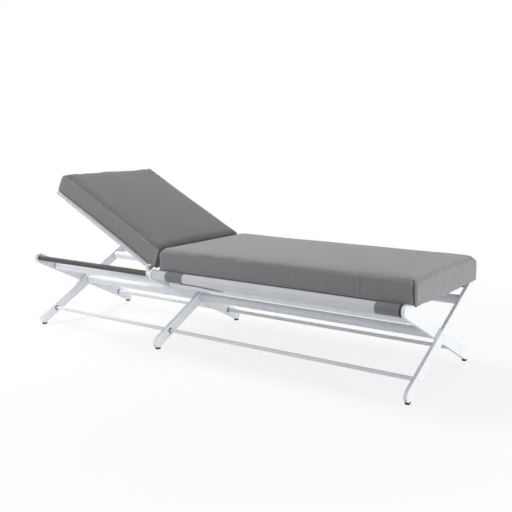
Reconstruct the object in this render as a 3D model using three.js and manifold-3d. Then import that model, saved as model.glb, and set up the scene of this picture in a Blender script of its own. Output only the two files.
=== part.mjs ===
// Relaxation lounger. Three crossed leg frames carry two side rails under the seat and two
// thinner rails under the head end. A hinged back frame tilts over the head rails, fabric slings
// span the seat and the back, and two loose cushions lie on the slings.
// Millimetres, +X from head to foot, +Z up, origin on the floor under the middle of the outline.
import * as THREE from 'three';
import { mergeVertices } from 'three/addons/utils/BufferGeometryUtils.js';
import Module from 'manifold-3d';

const wasm = await Module();
wasm.setup();

// Frame
const headBay = 764; // head frame to mid frame, middle to middle
const seatBay = 1187; // mid frame to foot frame
const cushionOverhang = 30; // seat cushion past the middle of the foot frame
const railSpread = 598; // rail axis to rail axis
const footSpread = 598; // between the lower round ends of a frame
const railHeight = 332.5; // rail axes above the floor
const footHeight = 31; // centre of a leg's lower round end above the floor
const legWidth = 48;
const legThickness = 15;
const legGap = 2; // between the two bars of a frame
const clearance = 0.3; // between pieces that touch

// Glides under the legs
const glideWidth = 20;
const glideFloorWidth = 16;

// Tubes between the frames
const tubeDiameter = 38;
const tubeWall = 2;
const headRailDiameter = 25;
const headRailWall = 1.5;
const upperTubeDrop = 115; // along the leg, from the rail axis to the upper tube's axis
const endPlate = 6; // welded into both ends of a tube
const spigotDiameter = 18; // upper tubes stand off the bars on these
const spigotLength = 4;
const ventDiameter = 5;
const ventPlace = 12; // from the end plate
const tieRodDiameter = 16;
const tieRodRise = 84; // along the leg, from the lower round end to the tie rod's axis
const tieRodBore = 5;
const tieRodBoreDepth = 24;

// Fixings
const studDiameter = 8;
const studRecess = 2; // stud tips inside the outer faces of the end frames
const capNutDiameter = 16;
const capNutHeight = 3;
const studHoleClearance = 0.3;
const washerDiameter = 40;

// Seat sling and its sleeves round the rails
const sleeveWall = 1.7;
const sleeveHeadMargin = 4; // bare rail beside the mid leg
const sleeveFootMargin = 10; // bare rail beside the foot leg
const slingThickness = 1.6;
const slingSag = 14;
const slingHeadEnd = 27; // sling start past the mid frame's middle
const slingFootEnd = 45; // sling end short of the foot frame's middle
const slingSteps = 16;
const endRingLength = 9.5;
const endRingWall = 2;

// Straps that hold the seat cushion to the rails
const strapWidth = 93;
const strapThickness = 1.4;
const headStrapStart = 78; // past the mid frame's middle
const strapTongue = 14;
const tailLength = 186;
const tailWidth = 12;
const tailThickness = 2;
const tailSag = 7;
const buckleLength = 22;
const buckleWidth = 16;
const buckleThickness = 4;

// Seat cushion
const cushionNarrower = 4; // than the rails are apart, axis to axis
const cushionThickness = 95;
const cushionEdge = 20; // radius of its edges
const cushionCrown = 9;
const cushionDrawIn = 4; // sides pulled in between the corners
const cushionLift = 3; // above the sleeves at its long edges
const seatCushionHeadEnd = 41; // past the mid frame's middle
const cornerDroop = 6; // sag of the unsupported far foot corner
const droopReach = 25;

// Backrest, in its own frame: the hinge axis is its origin and the head end is at -X
const backTilt = 27.5; // degrees above level, as photographed
const pivotBehindFrame = 28; // hinge axis on the head side of the mid frame's middle
const pivotRise = 27; // hinge axis above the rail axes
const backLength = 655;
const backFrameNarrower = 6; // side tubes' axes, than the rails are apart
const backTubeDiameter = 14;
const backTubeWall = 1.5;
const backSleeveWall = 1.2;
const backBarDiameter = 12;
const backBarDrop = 3; // bar axes below the side tubes' axes
const backFootBarPlace = 40; // from the hinge axis
const backMidBarPlace = 345;
const backSlingSag = 2.5;
const backSlingThickness = 1.4;
const backSlingMargin = 24; // sling ends inside the frame
const backCushionLift = 1;
const backCushionHeadOverhang = 4;
const backCushionFootOverhang = 14;
const backCushionCrown = 9;

// Hinges
const knuckleRadius = 9.5;
const knuckleInboard = 6; // past the side tube's axis
const knuckleOutboard = 10.4;
const hingePlugLength = 48;
const toothWasherThickness = 0.8;
const earThickness = 5;
const earRadius = 10;
const clampWall = 2;
const clampLength = 20;
const clampFit = 0.3;
const hingePinDiameter = 6;
const hingePinFit = 0.15;
const hingeHeadDiameter = 12;
const hingeHeadHeight = 3;
const hingeNutHeight = 5;

// Smoothness of round shapes and of the cushions' flats, in steps
const arcSteps = 8;
const smallArcSteps = 6;
const seatCushionSteps = 14;
const backCushionSteps = 10;
const acrossCushionSteps = 8;

const finishes = {
  white: { color: 0xf1f4f6, roughness: 0.42, metalness: 0.05 },
  graphite: { color: 0x85878a, roughness: 0.34, metalness: 0.85 },
  steel: { color: 0xb9bcc0, roughness: 0.35, metalness: 0.9 },
  nylon: { color: 0xe6e8ea, roughness: 0.6, metalness: 0 },
  black: { color: 0x1d1f21, roughness: 0.7, metalness: 0 },
  sleeve: { color: 0xc4c6ca, roughness: 0.85, metalness: 0 },
  strap: { color: 0x65686b, roughness: 0.85, metalness: 0 },
  cushion: { color: 0x78787b, roughness: 0.9, metalness: 0 },
};

const degrees = Math.PI / 180;
const alongX = new THREE.Matrix4().makeBasis(
  new THREE.Vector3(0, 1, 0), new THREE.Vector3(0, 0, 1), new THREE.Vector3(1, 0, 0));
const alongY = new THREE.Matrix4().makeBasis(
  new THREE.Vector3(1, 0, 0), new THREE.Vector3(0, 0, 1), new THREE.Vector3(0, -1, 0));

// A closed solid from any closed geometry, turned outside out where it is inside out
function solidOf(geometry) {
  const bare = geometry.clone();
  bare.deleteAttribute('normal');
  bare.deleteAttribute('uv');
  const merged = mergeVertices(bare, 1e-4);
  const vertProperties = new Float32Array(merged.attributes.position.array);
  const triVerts = new Uint32Array(merged.index.array);
  const corner = [new THREE.Vector3(), new THREE.Vector3(), new THREE.Vector3()];
  let volume = 0;
  for (let i = 0; i < triVerts.length; i += 3) {
    corner.forEach((point, k) => point.fromArray(vertProperties, 3 * triVerts[i + k]));
    volume += corner[0].dot(corner[1].clone().cross(corner[2]));
  }
  if (volume < 0) {
    for (let i = 0; i < triVerts.length; i += 3) {
      [triVerts[i], triVerts[i + 1]] = [triVerts[i + 1], triVerts[i]];
    }
  }
  return new wasm.Manifold(new wasm.Mesh({ numProp: 3, vertProperties, triVerts }));
}

function geometryOf(solid) {
  const mesh = solid.getMesh();
  const geometry = new THREE.BufferGeometry();
  geometry.setAttribute('position', new THREE.BufferAttribute(mesh.vertProperties, 3));
  geometry.setIndex(new THREE.BufferAttribute(mesh.triVerts, 1));
  geometry.computeVertexNormals();
  return geometry;
}

const joined = (solids) => solids.reduce((sum, solid) => sum.add(solid));

// A YZ outline carried from x0 to x1
function extrudeX(shape, x0, x1, steps = arcSteps) {
  const geometry = new THREE.ExtrudeGeometry(
    shape, { depth: x1 - x0, bevelEnabled: false, curveSegments: steps });
  return solidOf(geometry.applyMatrix4(alongX).translate(x0, 0, 0));
}

// An XZ outline carried from y0 to y1
function extrudeY(shape, y0, y1, steps = arcSteps) {
  const geometry = new THREE.ExtrudeGeometry(
    shape, { depth: Math.abs(y1 - y0), bevelEnabled: false, curveSegments: steps });
  return solidOf(geometry.applyMatrix4(alongY).translate(0, Math.max(y0, y1), 0));
}

function disc(u, v, radius, holeRadius = 0) {
  const shape = new THREE.Shape().absarc(u, v, radius, 0, 2 * Math.PI);
  if (holeRadius > 0) shape.holes.push(hole(u, v, holeRadius));
  return shape;
}

function hole(u, v, radius) {
  return new THREE.Path().absarc(u, v, radius, 0, 2 * Math.PI, true);
}

function rodX(x0, x1, y, z, diameter, bore = 0, steps = arcSteps) {
  return extrudeX(disc(y, z, diameter / 2, bore / 2), x0, x1, steps);
}

function rodY(y0, y1, x, z, diameter, bore = 0, steps = smallArcSteps) {
  return extrudeY(disc(x, z, diameter / 2, bore / 2), y0, y1, steps);
}

function box(x0, x1, y0, y1, z0, z1) {
  const geometry = new THREE.BoxGeometry(x1 - x0, Math.abs(y1 - y0), z1 - z0);
  return solidOf(geometry.translate((x0 + x1) / 2, (y0 + y1) / 2, (z0 + z1) / 2));
}

const lounger = new THREE.Group();
const backrest = new THREE.Group();

function piece(name, solid, finish, parent = lounger) {
  const mesh = new THREE.Mesh(geometryOf(solid), new THREE.MeshStandardMaterial(finishes[finish]));
  mesh.name = name;
  parent.add(mesh);
  return mesh;
}

// Places along the lounger
const frameHalf = legGap / 2 + legThickness;
const overallLength = capNutHeight + frameHalf + headBay + seatBay + cushionOverhang;
const headX = -overallLength / 2 + capNutHeight + frameHalf;
const midX = headX + headBay;
const footX = midX + seatBay;
const frameX = { head: headX, mid: midX, foot: footX };

// Bars A run from the near rail to the far foot, bars B from the far rail to the near foot. In
// every frame bar A is on the head side and bar B on the foot side.
const barSide = { a: -1, b: 1 };
const ends = Object.keys(frameX);
const studHole = studDiameter / 2 + studHoleClearance;

function barFaces(end, bar) {
  const side = barSide[bar];
  const inner = frameX[end] + side * legGap / 2;
  const outer = inner + side * legThickness;
  return [Math.min(inner, outer), Math.max(inner, outer)];
}

// Sides: near is -Y and belongs to bars A at the top, far is +Y and belongs to bars B
const sides = { near: { sign: -1, topBar: 'a', footBar: 'b' }, far: { sign: 1, topBar: 'b', footBar: 'a' } };

const cushionWidth = railSpread - cushionNarrower;
const pivotHeight = railHeight + pivotRise;
const legRun = railSpread / 2 + footSpread / 2;
const legFall = railHeight - footHeight;
const legSlope = Math.hypot(legRun, legFall);
const crossHeight = footHeight + legFall * (footSpread / 2) / legRun;

// A point on the leg that hangs from the rail on this side, at a distance down from the rail
function onTopLeg(sign, distance) {
  return {
    y: sign * (railSpread / 2 - distance * legRun / legSlope),
    z: railHeight - distance * legFall / legSlope,
  };
}

// A point on the leg that stands on the foot on this side, at a distance up from the foot
function onFootLeg(sign, distance) {
  return {
    y: sign * (footSpread / 2 - distance * legRun / legSlope),
    z: footHeight + distance * legFall / legSlope,
  };
}

// Crossed legs: flat bars with round ends, bored for the rails, tubes, pivot and tie rod
function legOutline(sign) {
  const top = { y: sign * railSpread / 2, z: railHeight };
  const foot = { y: -sign * footSpread / 2, z: footHeight };
  const fall = Math.atan2(foot.z - top.z, foot.y - top.y);
  const shape = new THREE.Shape();
  shape.absarc(top.y, top.z, legWidth / 2, fall + Math.PI / 2, fall + 3 * Math.PI / 2);
  shape.absarc(foot.y, foot.z, legWidth / 2, fall - Math.PI / 2, fall + Math.PI / 2);
  const tube = onTopLeg(sign, upperTubeDrop);
  const tie = onFootLeg(-sign, tieRodRise);
  shape.holes.push(hole(top.y, top.z, studHole));
  shape.holes.push(hole(tube.y, tube.z, studHole));
  shape.holes.push(hole(0, crossHeight, studHole));
  shape.holes.push(hole(tie.y, tie.z, tieRodDiameter / 2 + clearance));
  return shape;
}

for (const end of ends) {
  piece(`leg_a_${end}`, extrudeX(legOutline(-1), ...barFaces(end, 'a')), 'white');
  piece(`leg_b_${end}`, extrudeX(legOutline(1), ...barFaces(end, 'b')), 'white');
}

// Glides: moulded shoes under the round ends, flat on the floor
function glide(end, side) {
  const y = side.sign * footSpread / 2;
  const reach = legWidth / 2 + clearance;
  const half = Math.asin(glideWidth / 2 / reach);
  const shape = new THREE.Shape();
  shape.moveTo(y - glideFloorWidth / 2, 0);
  shape.lineTo(y + glideFloorWidth / 2, 0);
  shape.lineTo(y + glideWidth / 2, footHeight - reach * Math.cos(half));
  shape.absarc(y, footHeight, reach, half - Math.PI / 2, -half - Math.PI / 2, true);
  return extrudeX(shape, ...barFaces(end, side.footBar));
}

for (const end of ends) {
  for (const [name, side] of Object.entries(sides)) {
    piece(`${name}_glide_${end}`, glide(end, side), 'black');
  }
}

// Washers between the two bars of each frame
for (const end of ends) {
  const faces = [frameX[end] - legGap / 2 + clearance, frameX[end] + legGap / 2 - clearance];
  piece(`pivot_washer_${end}`,
    rodX(...faces, 0, crossHeight, washerDiameter, 2 * studHole), 'nylon');
}

// A tube between two bars, closed by welded end plates. A spigot may hold it off the bars. Its
// foot end carries a stud through the next bars; its head end has a stud too, or a threaded bore.
function frameTube(faces, y, z, diameter, wall, spigot, headStud, footStud) {
  const [from, to] = [faces[0] + clearance, faces[1] - clearance];
  const [x0, x1] = [from + spigot, to - spigot];
  const cavity = rodX(x0 + endPlate, x1 - endPlate, y, z, diameter - 2 * wall);
  let tube = rodX(x0, x1, y, z, diameter).subtract(cavity);
  if (spigot > 0) {
    tube = tube.add(rodX(from, x0, y, z, spigotDiameter)).add(rodX(x1, to, y, z, spigotDiameter));
  }
  tube = tube.add(rodX(x1, faces[1] + footStud, y, z, studDiameter, 0, smallArcSteps));
  if (headStud > 0) {
    const way = y > 0 ? -1 : 1;
    const vent = rodY(y, y + way * diameter, x0 + endPlate + ventPlace, z, ventDiameter);
    return tube.add(rodX(faces[0] - headStud, x0, y, z, studDiameter, 0, smallArcSteps)).subtract(vent);
  }
  return tube.subtract(rodX(faces[0], x0 + 2 * endPlate, y, z, 2 * studHole, 0, smallArcSteps));
}

// Stud lengths: through the end frames to just inside their outer faces, and through the mid
// frame to the inner face of the next tube's end plate
const oneBar = legThickness;
const twoBars = 2 * legThickness + legGap;
function tubePair(bays, bars, y, z, spigot, names, diameters, walls, finish) {
  const tip = bars - studRecess;
  const grip = bars + spigot + endPlate;
  piece(names[0], frameTube(bays.head, y, z, diameters[0], walls[0], spigot, tip, grip), finish);
  piece(names[1], frameTube(bays.foot, y, z, diameters[1], walls[1], spigot, 0, tip), 'white');
}

const centreBays = {
  head: [barFaces('head', 'b')[1], barFaces('mid', 'a')[0]],
  foot: [barFaces('mid', 'b')[1], barFaces('foot', 'a')[0]],
};
tubePair(centreBays, twoBars, 0, crossHeight, 0, ['centre_tube_head', 'centre_tube_foot'],
  [tubeDiameter, tubeDiameter], [tubeWall, tubeWall], 'white');

// Low cap nuts on the outer faces of the end frames hold the pivots together
const pivotNut = (face, way) => rodX(
  Math.min(face + way * clearance, face + way * capNutHeight),
  Math.max(face + way * clearance, face + way * capNutHeight), 0, crossHeight, capNutDiameter);
piece('pivot_nut_head', pivotNut(barFaces('head', 'a')[0], -1), 'white');
piece('pivot_nut_foot', pivotNut(barFaces('foot', 'b')[1], 1), 'white');

for (const [name, side] of Object.entries(sides)) {
  const bar = side.topBar;
  const bays = {
    head: [barFaces('head', bar)[1], barFaces('mid', bar)[0]],
    foot: [barFaces('mid', bar)[1], barFaces('foot', bar)[0]],
  };

  // Upper tubes, a hand's width down the legs
  const upper = onTopLeg(side.sign, upperTubeDrop);
  tubePair(bays, oneBar, upper.y, upper.z, spigotLength,
    [`${name}_upper_tube_head`, `${name}_upper_tube_foot`],
    [tubeDiameter, tubeDiameter], [tubeWall, tubeWall], 'white');

  // Rails: dark and thin under the head end, white and sleeved under the seat
  tubePair(bays, oneBar, side.sign * railSpread / 2, railHeight, 0,
    [`${name}_head_rail`, `${name}_seat_rail`],
    [headRailDiameter, tubeDiameter], [headRailWall, tubeWall], 'graphite');

  // Tie rod low between the legs, bored at both ends for its screws
  const { y, z } = onFootLeg(side.sign, tieRodRise);
  const [x0, x1] = [barFaces('head', side.footBar)[0], barFaces('foot', side.footBar)[1]];
  const bores = [[x0 - clearance, x0 + tieRodBoreDepth], [x1 - tieRodBoreDepth, x1 + clearance]].map(
    ([from, to]) => rodX(from, to, y, z, tieRodBore, 0, smallArcSteps));
  piece(`${name}_tie_rod`, rodX(x0, x1, y, z, tieRodDiameter).subtract(joined(bores)), 'white');
}

// Fabric sleeves round the seat rails, the rings that end them, and the cushion's straps
const sleeveBore = tubeDiameter + 2 * clearance;
const sleeveDiameter = sleeveBore + 2 * sleeveWall;
const strapBore = sleeveDiameter + 2 * clearance;
const strapDiameter = strapBore + 2 * strapThickness;
const seatBase = railHeight + sleeveDiameter / 2 + cushionLift;
const strapSlots = [];
for (const [name, side] of Object.entries(sides)) {
  const railY = side.sign * railSpread / 2;
  const from = barFaces('mid', side.topBar)[1] + sleeveHeadMargin;
  const to = barFaces('foot', side.topBar)[0] - sleeveFootMargin;
  piece(`${name}_sling_sleeve`, rodX(from, to, railY, railHeight, sleeveDiameter, sleeveBore), 'sleeve');
  piece(`${name}_end_ring`, rodX(to + clearance, to + endRingLength, railY, railHeight,
    sleeveDiameter + 2 * endRingWall, sleeveBore), 'black');

  const headStrap = midX + headStrapStart;
  const strapStarts = { head: headStrap, foot: to - strapWidth };
  const tongueTop = seatBase - 3 * clearance;
  for (const [end, x0] of Object.entries(strapStarts)) {
    const inner = railY - side.sign * strapTongue;
    const tongue = box(x0, x0 + strapWidth, Math.min(railY, inner), Math.max(railY, inner),
      tongueTop - strapThickness, tongueTop);
    const ring = rodX(x0, x0 + strapWidth, railY, railHeight, strapDiameter, strapBore);
    const core = rodX(x0 - clearance, x0 + strapWidth + clearance, railY, railHeight, strapBore);
    piece(`${name}_strap_${end}`, ring.add(tongue).subtract(core), 'strap');
    strapSlots.push(rodX(x0 - clearance, x0 + strapWidth + clearance, railY, railHeight,
      strapDiameter + 2 * clearance));
  }
}

// The near head strap's free tail hangs in a shallow curve below the rail to its buckle
const tailStart = midX + headStrapStart + strapWidth;
const tailTop = railHeight - strapDiameter / 2;
function tailOutline(depth) {
  const shape = new THREE.Shape();
  const rows = Array.from({ length: arcSteps + 1 }, (_, i) => i / arcSteps);
  const heightAt = (t) => tailTop - clearance - tailSag * t * t;
  shape.moveTo(tailStart - strapWidth / 4, heightAt(0));
  rows.forEach((t) => shape.lineTo(tailStart + tailLength * t, heightAt(t)));
  rows.reverse().forEach((t) => shape.lineTo(tailStart + tailLength * t, heightAt(t) - depth));
  shape.lineTo(tailStart - strapWidth / 4, heightAt(0) - depth);
  return shape;
}
const nearRailY = -railSpread / 2;
piece('near_strap_tail', extrudeY(
  tailOutline(tailThickness), nearRailY - tailWidth / 2, nearRailY + tailWidth / 2), 'strap');
const buckleTop = tailTop - clearance - tailSag + (buckleThickness - tailThickness) / 2;
const buckleX = tailStart + tailLength + clearance;
piece('near_strap_buckle', box(buckleX, buckleX + buckleLength, nearRailY - buckleWidth / 2,
  nearRailY + buckleWidth / 2, buckleTop - buckleThickness, buckleTop), 'nylon');

// A sling: a sheet that sags between two edges, of even thickness. The seat's has a notch for
// each strap.
function slingSheet(x0, x1, halfWidth, edgeBottom, thickness, sag) {
  const shape = new THREE.Shape();
  const rows = Array.from({ length: slingSteps + 1 }, (_, i) => 2 * i / slingSteps - 1);
  const bottomAt = (v) => edgeBottom - sag * (1 - v * v);
  shape.moveTo(-halfWidth, bottomAt(-1));
  rows.slice(1).forEach((v) => shape.lineTo(v * halfWidth, bottomAt(v)));
  rows.reverse().forEach((v) => shape.lineTo(v * halfWidth, bottomAt(v) + thickness));
  return extrudeX(shape, x0, x1);
}

const seatHug = (sleeveDiameter / 2 + clearance) * Math.SQRT1_2;
const seatSlingEdge = railHeight + seatHug;
const seatSling = slingSheet(midX + slingHeadEnd, footX - slingFootEnd,
  railSpread / 2 - seatHug, seatSlingEdge, slingThickness, slingSag);
piece('seat_sling', seatSling.subtract(joined(strapSlots)), 'sleeve');

// Stops along one side of a cushion: even over the flat, then stepped round the edge
function cushionStops(half, edge, flats) {
  const flat = half - edge;
  const inner = Array.from({ length: flats + 1 }, (_, i) => -flat + 2 * flat * i / flats);
  const turn = flat + edge * Math.tan(Math.PI / 8);
  return [-half, -turn, ...inner, turn, half];
}

// A cushion: a box with round edges, crowned on top, full below, its sides drawn in between
// the corners. Its underside is at z = 0 along the long edges. droop lowers one corner.
function cushionSolid(x0, x1, width, thickness, crown, belly, droop, flatsX, flatsY) {
  const half = [(x1 - x0) / 2, width / 2, thickness / 2];
  const stops = [
    cushionStops(half[0], cushionEdge, flatsX),
    cushionStops(half[1], cushionEdge, flatsY),
    cushionStops(half[2], cushionEdge, 1),
  ];
  const ease = (t) => { const s = Math.min(Math.max(t, 0), 1); return s * s * (3 - 2 * s); };
  const between = (t, reach) => Math.max(0, 1 - (t * reach / (reach - cushionEdge)) ** 2);
  const shaped = (raw) => {
    const core = raw.map((v, k) => Math.max(Math.min(v, half[k] - cushionEdge), cushionEdge - half[k]));
    const away = new THREE.Vector3(...raw.map((v, k) => v - core[k])).setLength(cushionEdge);
    const point = new THREE.Vector3(...core).add(away);
    const u = point.x / half[0];
    const v = point.y / half[1];
    const fill = point.z / half[2];
    const hollow = (1 - u * u) * (1 - v * v);
    if (fill > 0) {
      point.z += crown * hollow * fill;
    } else {
      point.z += belly * (1 - v * v) * fill;
      const reach = (point.x - half[0] + droopReach) / droopReach;
      point.z += droop * ease(reach) * ease(v) * fill;
    }
    point.y *= 1 - cushionDrawIn * between(u, half[0]) / half[1];
    point.x *= 1 - cushionDrawIn * between(v, half[1]) / half[0];
    return [point.x + (x0 + x1) / 2, point.y, point.z + half[2]];
  };
  const positions = [];
  const quad = (a, b, c, d) => {
    positions.push(...a, ...b, ...c, ...a, ...c, ...d);
  };
  for (let axis = 0; axis < 3; axis += 1) {
    const [i1, i2] = [(axis + 1) % 3, (axis + 2) % 3];
    for (const side of [-1, 1]) {
      for (let i = 0; i + 1 < stops[i1].length; i += 1) {
        for (let j = 0; j + 1 < stops[i2].length; j += 1) {
          const cell = [[i, j], [i + 1, j], [i + 1, j + 1], [i, j + 1]].map(([p, q]) => {
            const raw = [0, 0, 0];
            raw[axis] = side * half[axis];
            raw[i1] = stops[i1][p];
            raw[i2] = stops[i2][q];
            return shaped(raw);
          });
          if (side < 0) cell.reverse();
          quad(...cell);
        }
      }
    }
  }
  const geometry = new THREE.BufferGeometry();
  geometry.setAttribute('position', new THREE.Float32BufferAttribute(positions, 3));
  return solidOf(geometry);
}

const seatBelly = seatBase - (seatSlingEdge + slingThickness - slingSag) - clearance;
const seatCushion = cushionSolid(midX + seatCushionHeadEnd, footX + cushionOverhang, cushionWidth,
  cushionThickness, cushionCrown, seatBelly, cornerDroop, seatCushionSteps, acrossCushionSteps);
piece('seat_cushion', seatCushion.translate([0, 0, seatBase]), 'cushion');

// Backrest: everything below rides on the hinge axis and is turned up as one
backrest.position.set(midX - pivotBehindFrame, 0, pivotHeight);
backrest.rotation.y = backTilt * degrees;
lounger.add(backrest);

const backTubeY = (railSpread - backFrameNarrower) / 2;
const backSleeveBore = backTubeDiameter + 2 * clearance;
const backSleeveDiameter = backSleeveBore + 2 * backSleeveWall;
const tubeStart = knuckleRadius + clearance;
const headBarX = -backLength + backTubeDiameter / 2;
for (const [name, side] of Object.entries(sides)) {
  const y = side.sign * backTubeY;
  piece(`${name}_back_tube`, rodX(-backLength, -tubeStart, y, 0, backTubeDiameter,
    backTubeDiameter - 2 * backTubeWall), 'white', backrest);
  piece(`${name}_back_sleeve`, rodX(-backLength, -backSlingMargin, y, 0,
    backSleeveDiameter, backSleeveBore), 'sleeve', backrest);
}

// Bars between the side tubes, stopped against the sleeves and tubes
const barHalf = backTubeY - backSleeveDiameter / 2 - clearance;
const backBar = (x, z, diameter) => rodY(-barHalf, barHalf, x, z, diameter, 0, arcSteps);
piece('back_head_bar', backBar(headBarX, 0, backTubeDiameter), 'white', backrest);
piece('back_mid_bar', backBar(-backMidBarPlace, -backBarDrop, backBarDiameter), 'white', backrest);
piece('back_foot_bar', backBar(-backFootBarPlace, -backBarDrop, backBarDiameter), 'white', backrest);

const backHug = (backSleeveDiameter / 2 + clearance) * Math.SQRT1_2;
const backSlingStart = headBarX + backTubeDiameter / 2 + clearance;
piece('back_sling', slingSheet(backSlingStart, -backSlingMargin, backTubeY - backHug, backHug,
  backSlingThickness, backSlingSag), 'sleeve', backrest);

const backBase = backSleeveDiameter / 2 + backCushionLift;
const backBelly = backBase - (backHug + backSlingThickness - backSlingSag) - clearance;
const backCushion = cushionSolid(-backLength - backCushionHeadOverhang, backCushionFootOverhang,
  cushionWidth, cushionThickness, backCushionCrown, backBelly, 0,
  backCushionSteps, acrossCushionSteps);
piece('back_cushion', backCushion.translate([0, 0, backBase]), 'cushion', backrest);

// Hinges: a knuckle plugged into each side tube turns on a pin through an ear on the head rail.
// Toothed washers between knuckle and ear hold the set angle.
const pinHole = hingePinDiameter / 2 + hingePinFit;
const hinge = { x: midX - pivotBehindFrame, z: pivotHeight };
for (const [name, side] of Object.entries(sides)) {
  const at = (outward) => side.sign * (backTubeY + outward);
  const knuckle = rodY(at(-knuckleInboard), at(knuckleOutboard), 0, 0, 2 * knuckleRadius, 0, arcSteps);
  const plug = rodX(-hingePlugLength, 0, at(0), 0, backTubeDiameter - 2 * backTubeWall - 2 * clearance);
  const bore = rodY(at(-knuckleInboard - clearance), at(knuckleOutboard + clearance), 0, 0, 2 * pinHole);
  piece(`${name}_hinge_knuckle`, knuckle.add(plug).subtract(bore), 'steel', backrest);

  const washerIn = knuckleOutboard + clearance;
  const earIn = washerIn + toothWasherThickness + clearance;
  const earOut = earIn + earThickness;
  piece(`${name}_hinge_washer`, rodY(at(washerIn), at(washerIn + toothWasherThickness),
    hinge.x, hinge.z, 2 * knuckleRadius, 2 * pinHole, arcSteps), 'steel');

  const railY = side.sign * railSpread / 2;
  const clampBore = headRailDiameter + 2 * clampFit;
  const clampDiameter = clampBore + 2 * clampWall;
  const clampX = [hinge.x - clampLength / 2, hinge.x + clampLength / 2];
  const ear = rodY(at(earIn), at(earOut), hinge.x, hinge.z, 2 * earRadius, 0, arcSteps);
  const post = box(hinge.x - earRadius, hinge.x + earRadius, at(earIn), at(earOut),
    railHeight, hinge.z);
  const clamp = rodX(...clampX, railY, railHeight, clampDiameter);
  const railBore = rodX(clampX[0] - clearance, clampX[1] + clearance, railY, railHeight, clampBore);
  const earBore = rodY(at(earIn - clearance), at(earOut + clearance), hinge.x, hinge.z, 2 * pinHole);
  piece(`${name}_hinge_bracket`,
    clamp.add(ear).add(post).subtract(railBore).subtract(earBore), 'steel');

  const headIn = earOut + clearance;
  const nutOut = -knuckleInboard - clearance;
  const nutIn = nutOut - hingeNutHeight;
  const shank = rodY(at(nutIn), at(headIn + hingeHeadHeight), hinge.x, hinge.z, hingePinDiameter);
  const head = rodY(at(headIn), at(headIn + hingeHeadHeight), hinge.x, hinge.z, hingeHeadDiameter);
  const nut = rodY(at(nutIn), at(nutOut), hinge.x, hinge.z, hingeHeadDiameter);
  piece(`${name}_hinge_pin`, shank.add(head).add(nut), 'steel');
}

export default lounger;
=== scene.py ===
import bmesh
import bpy
import math
import numpy as np
from mathutils import Matrix, Vector


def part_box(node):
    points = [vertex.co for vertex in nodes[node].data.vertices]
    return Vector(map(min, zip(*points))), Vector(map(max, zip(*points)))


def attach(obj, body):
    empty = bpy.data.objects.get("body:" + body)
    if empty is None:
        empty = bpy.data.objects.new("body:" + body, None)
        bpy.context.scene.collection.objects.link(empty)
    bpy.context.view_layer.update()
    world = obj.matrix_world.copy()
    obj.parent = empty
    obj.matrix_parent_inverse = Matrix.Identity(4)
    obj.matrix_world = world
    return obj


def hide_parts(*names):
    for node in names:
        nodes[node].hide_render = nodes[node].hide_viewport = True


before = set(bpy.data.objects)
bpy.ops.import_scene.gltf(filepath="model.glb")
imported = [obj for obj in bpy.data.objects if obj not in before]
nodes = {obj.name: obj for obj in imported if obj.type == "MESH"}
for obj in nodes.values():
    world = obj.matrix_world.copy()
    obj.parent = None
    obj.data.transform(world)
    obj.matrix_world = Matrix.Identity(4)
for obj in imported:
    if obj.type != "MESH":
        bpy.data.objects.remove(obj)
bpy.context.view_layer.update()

scene = bpy.context.scene


# The room. The lounger stands on a white studio floor between four large soft lamps, a high one
# and a low one past each of its ends. Only rays that look at the floor and the world see them
# as white; the light that falls on the lounger stays plain.
lens = bpy.data.cameras.new("studio camera")
lens.lens, lens.sensor_width = 53.31, 36
camera = bpy.data.objects.new("studio camera", lens)
heading, dip, roll = (math.radians(a) for a in (125.5717, 9.7854, -0.3304))
ahead = Vector((math.cos(dip) * math.cos(heading), math.cos(dip) * math.sin(heading), -math.sin(dip)))
level = Vector((math.sin(heading), -math.cos(heading), 0))
upright = level.cross(ahead)
sideways = level * math.cos(roll) + upright * math.sin(roll)
upwards = upright * math.cos(roll) - level * math.sin(roll)
camera.matrix_world = Matrix.Translation((2.0244, -2.6734, 0.9704)) @ Matrix(
    (sideways, upwards, -ahead)).transposed().to_4x4()
scene.collection.objects.link(camera)
scene.camera = camera
scene.view_settings.view_transform = "Standard"


def sum_of(operation, swapped=False):
    """A method that adds one Math node for its operation, with its two values in either order."""
    def act(self, other=None):
        values = [self] if other is None else [other, self] if swapped else [self, other]
        return self.mix.node("ShaderNodeMath", {"operation": operation}, dict(enumerate(values)))
    return act


class Tone:
    """A number or colour on its way through a finish; sums on it add their Math nodes."""

    def __init__(self, mix, socket):
        self.mix, self.socket = mix, socket

    __add__, __radd__ = sum_of("ADD"), sum_of("ADD", True)
    __sub__, __rsub__ = sum_of("SUBTRACT"), sum_of("SUBTRACT", True)
    __mul__, __rmul__ = sum_of("MULTIPLY"), sum_of("MULTIPLY", True)
    __truediv__ = sum_of("DIVIDE")
    __gt__, __lt__ = sum_of("GREATER_THAN"), sum_of("LESS_THAN")
    __abs__, sine, fraction = sum_of("ABSOLUTE"), sum_of("SINE"), sum_of("FRACT")
    least, most = sum_of("MINIMUM"), sum_of("MAXIMUM")

    def between(self, low, high):
        """0 below low, 1 above high, and an even slope from one to the other."""
        return self.mix.node("ShaderNodeMapRange", {"interpolation_type": "SMOOTHSTEP"},
                             {"Value": self, "From Min": low, "From Max": high})


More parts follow.
